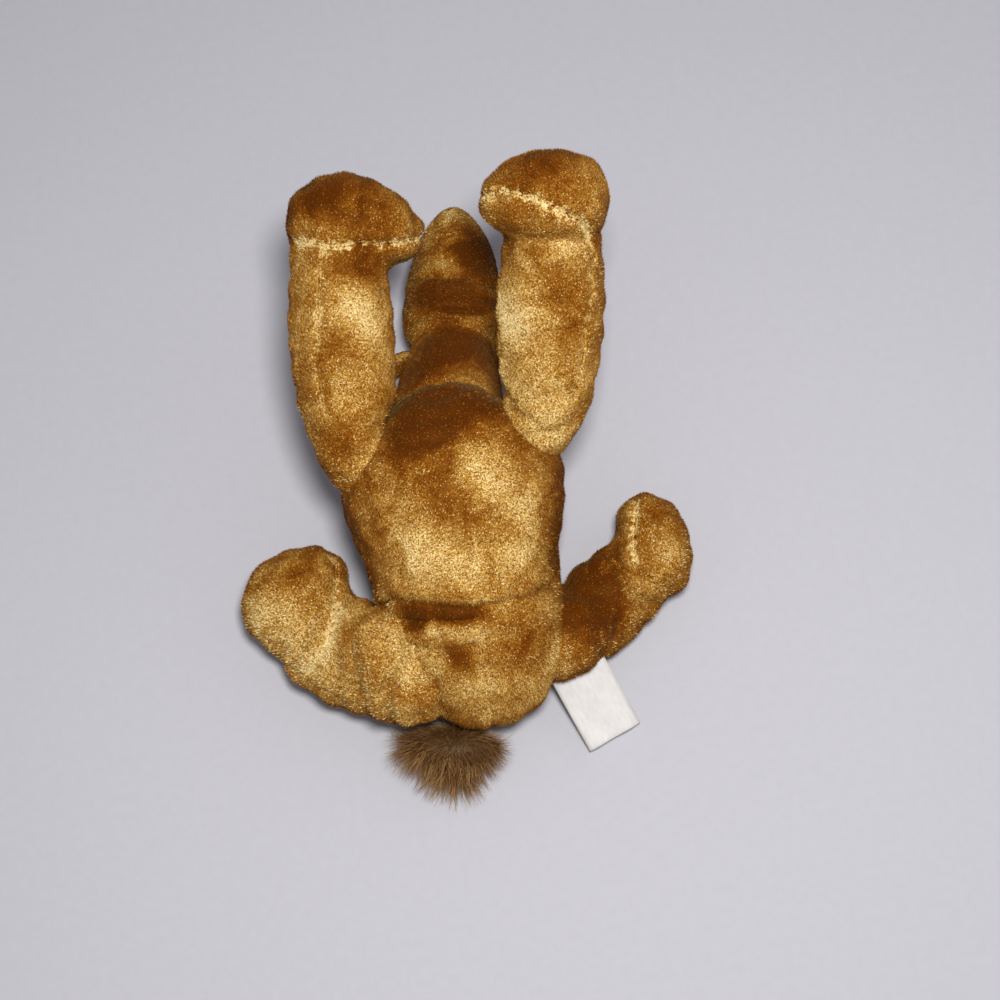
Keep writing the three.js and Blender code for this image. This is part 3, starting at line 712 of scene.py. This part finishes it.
# puckers along a sewn line: height, wave length, where they start and how far they reach, and how they wander
PUCKER, PUCKER_WAVE = 0.3 * MM, 4.1 * MM
PUCKER_START, PUCKER_REACH = 0.6 * MM, 3.0 * MM
PUCKER_STRAY, PUCKER_STRAY_WAVE = 2.5, 7 * MM
SHINE_REACH = 4 * MM
PAST_SEAM = 9.0  # a distance in millimetres at which no seam shows
TOWARDS_LAMP = unit(np.array([0, -0.34, 0.94]))  # towards the key lamp by the camera; the skin is darkened as it turns from it
SIDE_SHADE, SIDE_SHADE_CURVE = 0.36, 1.6

SWIRL, SWIRL_WAVES, SWIRL_SHIFT = 0.35, 170, np.array([0.4, 1.9, 3.1])
PILE_SIZES = dict(Density=5.5e6, Length=0.6 * MM, Width=0.15 * MM, Lean=1.0, Scatter=0.7, Seed=7)


def sewn_brushed_and_shaded(form, mesh):
    """One form's sewn lines, patches of brushing, painted shade and painted seam highlights, kept on its mesh
    for the look, and how far it is sewn in.
    """
    points = points_of(mesh)
    push = np.zeros(len(points))
    pale = np.zeros(len(points))
    nearest = np.full(len(points), PAST_SEAM)
    shine = np.zeros(len(points))
    for path, depth, width, glint in SEAMS.get(form, []):
        far, run, _ = path_offset(points, on_surface(points, path))
        push += valley(far, depth * MM, width * MM)
        pucker = np.sin(run / PUCKER_WAVE * 2 * math.pi + PUCKER_STRAY * np.sin(run / PUCKER_STRAY_WAVE))
        push += PUCKER * pucker * np.exp(-far / PUCKER_REACH) * np.clip((far - PUCKER_START) / MM, 0, 1)
        nearest = np.minimum(nearest, far / MM)
        # painted highlight beside the seam, fading away from it
        shine = np.maximum(shine, glint * np.exp(-((far / SHINE_REACH) ** 2)))
    for place, radius, amount in BRUSHED_AND_SHADED.get(form, []):
        far = np.linalg.norm(points - in_torso(*place), axis=1)
        pale += amount * np.exp(-((far / (radius * MM)) ** 2))
    # painted shade: the sides that turn away from the key lamp are darkened
    pale -= SIDE_SHADE * np.clip(1 - normals_of(mesh) @ TOWARDS_LAMP, 0, 1) ** SIDE_SHADE_CURVE
    store(mesh, "brushed_and_shaded", pale)
    store(mesh, "seam", nearest)
    store(mesh, "shine", shine)
    return push


def towards(mesh, direction):
    """Pile laid one way, wandering a little over the cloth."""
    swirl = np.sin(points_of(mesh)[:, [1, 2, 0]] * SWIRL_WAVES + SWIRL_SHIFT)
    return unit(np.array(direction)) + SWIRL * swirl


def dressed(piece, nodes, lay, ride=None, blend=None):
    """Pile and material for one finished skin; it rides on its body, or, given a blend, stays fixed where it
    is.
    """
    mesh = piece.data
    store(mesh, "lay", lay)
    mesh.materials.clear()
    mesh.materials.append(PLUSH)
    pile = grown(piece, piece.name.replace("_skin", "_pile"), BLADES, Material=PILE, **PILE_SIZES)
    for part in (piece, pile):
        if blend:
            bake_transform(part)
        else:
            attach(part, ride)
    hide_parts(*nodes)


def folded(points):
    """How far the folds press each point in, and how far the cloth above them hangs over."""
    push, slide = np.zeros(len(points)), np.zeros(len(points))
    for path, depth, width, hang in FOLDS:
        far, _, offset = path_offset(points, on_surface(points, path))
        above = (offset @ SPINE) / (width * MM)
        far = far / (width * MM)
        push -= depth * MM * np.exp(-(far**2))
        push += LIP_HEIGHT * hang * MM * np.exp(-(((far - LIP_AT) / LIP_WIDTH) ** 2)) * (above > 0)
        over = np.clip(above * HANG_STARTS, 0, 1)
        slide += hang * MM * np.exp(-(((far - HANG_AT) / HANG_WIDTH) ** 2)) * over
    return push, slide


def drawn(points):
    """How far the waist is drawn in and the shoulders stand out."""
    push = np.zeros(len(points))
    for place, radius, amount in DRAWN:
        far = np.linalg.norm(points - in_torso(*place), axis=1) / (radius * MM)
        push += amount * MM * np.exp(-(far**2))
    return push


def make_torso():
    nodes = ["torso_left", "torso_right", "torso_pellets", "torso_fibre"]
    piece = skin("torso_skin", nodes)
    points = points_of(piece.data)
    local = points - RUMP
    held = (np.abs(local @ ACROSS + LEAN * (local @ SPINE)) < SEAM_HOLDS) | (points[:, 2] < ON_FLOOR)
    for fold in FOLDS[:HELD_FOLDS]:
        held |= path_offset(points, on_surface(points, fold[0]))[0] < FOLD_HOLDS
    relaxed(piece, held, **TORSO_LOOSE)
    finer(piece)
    mesh = piece.data
    points, normals = points_of(mesh), normals_of(mesh)
    local = points - RUMP
    from_seam = np.abs(local @ ACROSS + LEAN * (local @ SPINE))
    back_seam = valley(from_seam, *TORSO_SEAM) * (local @ BELLY < 0)
    push, slide = folded(points)
    push += back_seam + drawn(points) + sewn_brushed_and_shaded("torso", mesh)
    set_points(mesh, points + push[:, None] * normals - slide[:, None] * SPINE)
    on_floor(mesh)
    dressed(piece, nodes, towards(mesh, TORSO_NAP), ride="torso")


def make_leg(name, leg):
    nodes = [name + "_upper", name + "_lower", name + "_pellets"]
    root, end, heel, toe = [in_torso(*leg[key]) for key in ("root", "end", "heel", "toe")]
    run = unit(end - root)
    inward = -np.sign(leg["root"][0]) * ACROSS
    along, aside, out = leg["ball"]
    centre = root + run * along * MM + inward * aside * MM + BELLY * out * MM
    balls = [(centre, [MM * radius for radius in leg["radii"]], run)]
    if name == THIGH_BALL[0]:
        balls.append((in_torso(*THIGH_BALL[1]), [MM * radius for radius in THIGH_BALL[2]], run))
    piece = skin(name + "_skin", nodes, balls, rounds=leg["rounds"])
    normal = unit(np.cross(end - root, toe - heel))
    points = points_of(piece.data)
    rooted = (points - root) @ run < ROOT_HOLDS
    sewn = np.abs((points - end) @ normal) < SEAM_HOLDS
    relaxed(piece, sewn | rooted | (points[:, 2] < ON_FLOOR), **LEG_LOOSE)
    finer(piece)
    mesh = piece.data
    points, normals = points_of(mesh), normals_of(mesh)
    push = valley(np.abs((points - end) @ normal), *LEG_SEAM) + sewn_brushed_and_shaded(name, mesh)
    set_points(mesh, points + push[:, None] * normals)
    on_floor(mesh)
    pivot = joint_at(leg["joint"])
    before, past = LEG_BENDS
    blend = ("torso", name + "_body", tuple(pivot - run * before), tuple(pivot + run * past))
    dressed(piece, nodes, towards(mesh, run), blend=blend)


def make_neck():
    below, above = joint_at("neck_bend"), joint_at("head_nod")
    aim = unit(above - below)
    nodes = ["neck_left", "neck_right", "neck_fibre"]
    balls = [
        (below - aim * 2 * MM, (15 * MM, 15 * MM, 15 * MM), aim),
        (above - aim * 4 * MM, (14 * MM, 14 * MM, 12 * MM), aim),
    ]
    piece = skin("neck_skin", nodes, balls, voxel=HEAD_VOXEL)
    finer(piece)
    sewn_brushed_and_shaded("neck", piece.data)
    before, past = NECK_BENDS
    blend = ("torso", "neck_body", tuple(below - aim * before), tuple(below + aim * past))
    dressed(piece, nodes, towards(piece.data, aim), blend=blend)


def make_head():
    nodes = ["head_left", "head_right", "head_fibre"]
    piece = skin("head_skin", nodes, voxel=HEAD_VOXEL)
    finer(piece)
    mesh = piece.data
    push = sewn_brushed_and_shaded("head", mesh)
    set_points(mesh, points_of(mesh) + push[:, None] * normals_of(mesh))
    on_floor(mesh)
    dressed(piece, nodes, towards(mesh, (0, -1, 0.2)), ride="head_body")


def make_ear(side, sign):
    nodes = ["ear_outer_" + side, "ear_lining_" + side]
    piece = skin("ear_skin_" + side, nodes, voxel=EAR_VOXEL, rounds=4)
    finer(piece)
    sewn_brushed_and_shaded("ear", piece.data)
    dressed(piece, nodes, towards(piece.data, (sign, -0.5, 0)), ride="ear_" + side + "_body")


def make_tail_root():
    ball = (joint_at("tail_swing"), (5 * MM, 5 * MM, 6 * MM), (0, 1, 0))
    piece = skin("tail_root_skin", ["tail_root"], [ball], voxel=TAIL_VOXEL, rounds=4)
    finer(piece)
    on_floor(piece.data)
    sewn_brushed_and_shaded("tail", piece.data)
    dressed(piece, ["tail_root"], towards(piece.data, (0, -1, 0)), ride="tail_body")


make_torso()
for name, leg in LEGS.items():
    make_leg(name, leg)
make_neck()
make_head()
make_ear("left", 1)
make_ear("right", -1)
make_tail_root()


# Tuft and forelock

FUR_TONES = [(0.12, (0.050, 0.020, 0.005)), (0.5, (0.19, 0.085, 0.024)), (0.88, (0.52, 0.30, 0.12))]
CORE_ROUNDS = 8
LOCKS = 0.22  # how far the strands gather into locks
LOCK_WAVES, LOCK_SHIFT = (900, 1700), np.array([0.3, 2.1, 4.0])
BRUSH_NARROWS, BRUSH_LENGTH, BRUSH_LIFT = 0.45, 7 * MM, 2.0 * MM

TUFT = dict(
    body="tail_body", origin=in_torso(-12, 1, -10), spread=np.array([0.7, 1.0, 0.6]), inset=3.2 * MM,
    sizes=dict(Density=4.2e6, Length=9.5 * MM, Width=0.28 * MM, Lean=1.4, Scatter=0.65, Bend=1.5 * MM),
)
# the tuft's shortest strands, and by how much they are longer in a direction
TUFT_SHORTEST = 0.66
TUFT_LONGER = [(unit(-SPINE - 0.3 * ACROSS), 0.85), (ACROSS, 0.45), (-ACROSS, 0.85)]

BROW = np.array(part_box("forelock")[0]) / 2 + np.array(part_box("forelock")[1]) / 2
FORELOCK = dict(
    body="head_body", origin=BROW - np.array([0, 20, -4]) * MM,
    spread=np.array([1.0, 1.0, 0.3]), inset=0.8 * MM,
    sizes=dict(Density=3.5e6, Length=6 * MM, Width=0.3 * MM, Lean=1.8, Scatter=0.5, Bend=1.0 * MM),
)


def fur(name):
    tint = (1.0, 0.75, 0.5, 1)
    look, tree, surface = shader(name, Roughness=0.5, Specular_IOR_Level=0.35, Specular_Tint=tint)
    chance = add(tree, "ShaderNodeAttribute", {"attribute_name": "blade"}).outputs["Fac"]
    streaks = noise(tree, object_place(tree), 180, Detail=2)
    mix = maths(tree, "ADD", graded(tree, chance, 0.6), graded(tree, streaks, 0.4))
    tree.links.new(ramp(tree, mix, FUR_TONES), surface.inputs["Base Color"])
    return look


FUR = fur("long_fur")


def brush_shaped(points):
    """The tuft's core narrows away from the rump, like a brush."""
    middle = points.mean(axis=0)
    narrow = BRUSH_NARROWS * np.clip((points - middle) @ -SPINE / BRUSH_LENGTH, 0, 1)
    return points + BRUSH_LIFT * SPINE - (narrow * ((points - middle) @ ACROSS))[:, None] * ACROSS


def furred(node, body, origin, spread, inset, sizes):
    """A core inside the CAD solid, and the long strands on it, which point away from the origin."""
    core = skin(node + "_core", [node], rounds=CORE_ROUNDS)
    mesh = core.data
    smooth_shaded(mesh)
    set_points(mesh, points_of(mesh) - inset * normals_of(mesh))
    points = points_of(mesh)
    if node == "tail_tuft":
        points = brush_shaped(points)
        set_points(mesh, points)
    away = (points - origin) * spread
    away = away / np.linalg.norm(away, axis=1)[:, None]
    reach = np.ones(len(points))
    if node == "tail_tuft":
        reach = TUFT_SHORTEST + sum(longer * np.clip(away @ way, 0, 1) ** 6 for way, longer in TUFT_LONGER)
    wide, narrow = LOCK_WAVES
    locks = np.sin(points[:, [1, 2, 0]] * wide + LOCK_SHIFT) + np.sin(points[:, [2, 0, 1]] * narrow)
    store(mesh, "lay", away + LOCKS * locks)
    store(mesh, "reach", reach)
    mesh.materials.clear()
    mesh.materials.append(FUR)
    hair = grown(core, node + "_strands", STRANDS, Seed=3, Material=FUR, **sizes)
    for part in (core, hair):
        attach(part, body)
    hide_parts(node)


furred("tail_tuft", **TUFT)
furred("forelock", **FORELOCK)


# Eyes

GLASS_TONES = [(0.3, (0.004, 0.002, 0.0015)), (0.7, (0.010, 0.005, 0.003))]
WASHER_TONES = [(0.3, (0.78, 0.78, 0.75)), (0.7, (0.86, 0.86, 0.84))]
EYE_WIDE, EYE_HIGH = 3.6 * MM, 2.4 * MM
EYE_TURN = math.radians(6)  # towards the nose


def clouded(name, scale, tones, **sockets):
    """A plain hard material, a little clouded."""
    look, tree, surface = shader(name, **sockets)
    cloud = noise(tree, object_place(tree), scale, Detail=2)
    tree.links.new(ramp(tree, cloud, tones), surface.inputs["Base Color"])
    return look


GLASS = clouded(
    "eye_gloss", 500, GLASS_TONES,
    Roughness=0.12, Specular_IOR_Level=0.35, Coat_Weight=0.1, Coat_Roughness=0.04,
)
WASHER = clouded("washer_plastic", 800, WASHER_TONES, Roughness=0.4)


def make_eye(side, sign):
    """A glossy dome over the eye's shank, and the washer behind the cloth."""
    node = "eye_" + side
    out = sign * np.array([math.cos(EYE_TURN), -math.sin(EYE_TURN), 0])
    shell = points_of(frame["nodes"][node].data)
    middle = (shell.max(axis=0) + shell.min(axis=0)) / 2
    centre = middle + out * ((shell @ out).max() - middle @ out - EYE_HIGH)
    form = bmesh.new()
    place = placed(centre, out, (EYE_WIDE, EYE_WIDE, EYE_HIGH))
    bmesh.ops.create_uvsphere(form, u_segments=40, v_segments=24, radius=1, matrix=place)
    mesh = bpy.data.meshes.new("eye_dome_" + side)
    form.to_mesh(mesh)
    form.free()
    smooth_shaded(mesh)
    mesh.materials.append(GLASS)
    dome = new_object("eye_dome_" + side, mesh)
    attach(dome, "head_body")
    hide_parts(node)
    for place in frame["nodes"]["eye_washer_" + side].material_slots:
        place.material = WASHER


make_eye("left", 1)
make_eye("right", -1)


# Label

LABEL_ROOT, LABEL_END = in_torso(30, 16, -8), in_torso(40, -8.5, -9)
LABEL_WIDTH = 20 * MM
LABEL_THICKNESS = 0.25 * MM
LABEL_FOLD = 0.9 * MM  # radius of the fold at its end
LABEL_STEPS = 16
LABEL_COLUMNS = 13
LABEL_BOW, LABEL_WAVE = 1.2 * MM, 0.5 * MM
LABEL_WAVES = (9, 160)  # across and along
SATIN_TONES = [(0.3, (0.72, 0.68, 0.64)), (0.7, (0.80, 0.77, 0.74))]


def satin(name):
    look, tree, surface = shader(name, Roughness=0.42, Specular_IOR_Level=0.45, Sheen_Weight=0.15)
    place = add(tree, "ShaderNodeTexCoord").outputs["UV"]
    bands = {"wave_type": "BANDS", "bands_direction": "X"}
    wave = add(tree, "ShaderNodeTexWave", bands, Vector=place, Scale=30, Distortion=0.4, Detail=2)
    slubs = noise(tree, place, 14, Detail=3)
    tree.links.new(ramp(tree, slubs, SATIN_TONES), surface.inputs["Base Color"])
    bump = add(tree, "ShaderNodeBump", Height=wave.outputs["Fac"], Strength=0.25, Distance=0.1 * MM)
    tree.links.new(bump.outputs["Normal"], surface.inputs["Normal"])
    return look


def label_profile(length):
    """The strip seen from its side: out along the lower half, round the fold and back along the upper."""
    steps = [step / LABEL_STEPS for step in range(LABEL_STEPS + 1)]
    turns = np.linspace(0, math.pi, 9)[1:-1]
    profile = [(step * length, -LABEL_FOLD) for step in steps]
    profile += [(length + LABEL_FOLD * math.sin(turn), -LABEL_FOLD * math.cos(turn)) for turn in turns]
    profile += [(length * (1 - step), LABEL_FOLD) for step in steps]
    return profile


def make_label():
    """A satin strip folded in two, a little bowed, its ends in the leg's seam."""
    length = np.linalg.norm(LABEL_END - LABEL_ROOT)
    run = unit(LABEL_END - LABEL_ROOT)
    wide = unit(np.cross(run, (0, 0, 1)))
    up = np.cross(wide, run)
    profile = label_profile(length)
    gone = np.cumsum([0.0] + [math.dist(a, b) for a, b in zip(profile[:-1], profile[1:])])
    flat = float(gone[-1])
    vertices, corners = [], []
    for (along, height), passed in zip(profile, gone):
        for column in range(LABEL_COLUMNS):
            side = column / (LABEL_COLUMNS - 1) - 0.5
            bow = LABEL_BOW * (along / length) ** 2 * (1 - 3.0 * side * side)
            bow += LABEL_WAVE * math.sin(LABEL_WAVES[0] * side + along * LABEL_WAVES[1])
            lift = height + bow * along / length
            vertices.append(LABEL_ROOT + run * along + up * lift + wide * side * LABEL_WIDTH)
            corners.append((side + 0.5, passed / flat))
    faces = []
    for row in range(len(profile) - 1):
        for column in range(LABEL_COLUMNS - 1):
            near = row * LABEL_COLUMNS + column
            next_row = near + LABEL_COLUMNS
            faces.append((near, near + 1, next_row + 1, next_row))
    mesh = bpy.data.meshes.new("label_satin")
    mesh.from_pydata([tuple(point) for point in vertices], [], faces)
    layer = mesh.uv_layers.new(name="UVMap")
    for loop in mesh.loops:
        layer.data[loop.index].uv = corners[loop.vertex_index]
    mesh.materials.append(satin("label_cloth"))
    piece = new_object("label_satin", mesh)
    thick = piece.modifiers.new("thick", "SOLIDIFY")
    thick.thickness = LABEL_THICKNESS
    thick.offset = 0
    baked(piece)
    smooth_shaded(piece.data)
    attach(piece, "label_body")
    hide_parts("label")


make_label()


# Floor, camera and light

FLOOR_HALF = 6
FLOOR_TONES = [(0.0, (0.56, 0.55, 0.58)), (1.0, (0.60, 0.59, 0.62))]
ELEVATION = math.radians(70)
ROLL = math.radians(6.5)
FOCAL = 2005 / 1000  # in image widths
SENSOR = 36
TARGET = np.array([14.15, -16.2, 39.0]) * MM
DISTANCE = 680 * MM
AHEAD = np.array([0, math.cos(ELEVATION), -math.sin(ELEVATION)])
TOP = np.array([0, math.sin(ELEVATION), math.cos(ELEVATION)])
RIGHT = math.cos(ROLL) * ACROSS - math.sin(ROLL) * TOP
UPRIGHT = math.sin(ROLL) * ACROSS + math.cos(ROLL) * TOP
EYE = TARGET - AHEAD * DISTANCE
SKY, SKY_STRENGTH = (0.92, 0.93, 1.0, 1), 0.27


def make_floor():
    look, tree, surface = shader("floor_paper", Roughness=0.9, Specular_IOR_Level=0.1)
    mottle = noise(tree, object_place(tree), 300, Detail=2)
    tree.links.new(ramp(tree, mottle, FLOOR_TONES), surface.inputs["Base Color"])
    ground = bpy.data.meshes.new("floor")
    corners = [(FLOOR_HALF * x, FLOOR_HALF * y, 0) for x, y in ((-1, -1), (1, -1), (1, 1), (-1, 1))]
    ground.from_pydata(corners, [], [(0, 1, 2, 3)])
    ground.materials.append(look)
    new_object("floor", ground)


def set_camera():
    lens = bpy.data.cameras.new("camera")
    lens.sensor_width = SENSOR
    lens.lens = SENSOR * FOCAL
    lens.clip_start, lens.clip_end = 0.01, 20
    camera = new_object("camera", lens)
    axes = np.stack([RIGHT, UPRIGHT, -AHEAD], 1)
    camera.matrix_world = Matrix([[*row, at] for row, at in zip(axes, EYE)] + [[0, 0, 0, 1]])
    bpy.context.scene.camera = camera


def lamp(name, at, size, power):
    light = bpy.data.lights.new(name, "AREA")
    light.shape = "DISK"
    light.size = size
    light.energy = power
    lit = new_object(name, light)
    lit.location = at
    lit.rotation_mode = "QUATERNION"
    lit.rotation_quaternion = (Vector(TARGET) - Vector(at)).to_track_quat("-Z", "Y")


def set_sky():
    world = bpy.data.worlds.new("studio")
    world.use_nodes = True
    sky = world.node_tree.nodes["Background"].inputs
    sky["Color"].default_value = SKY
    sky["Strength"].default_value = SKY_STRENGTH
    bpy.context.scene.world = world


make_floor()
set_camera()
lamp("key", EYE + 0.04 * RIGHT + 0.11 * UPRIGHT, size=0.14, power=4.25)
lamp("side", (0.9, 0.2, 0.7), size=0.6, power=0.6)
set_sky()
bpy.context.scene.view_settings.view_transform = "Standard"

bpy.context.view_layer.update()
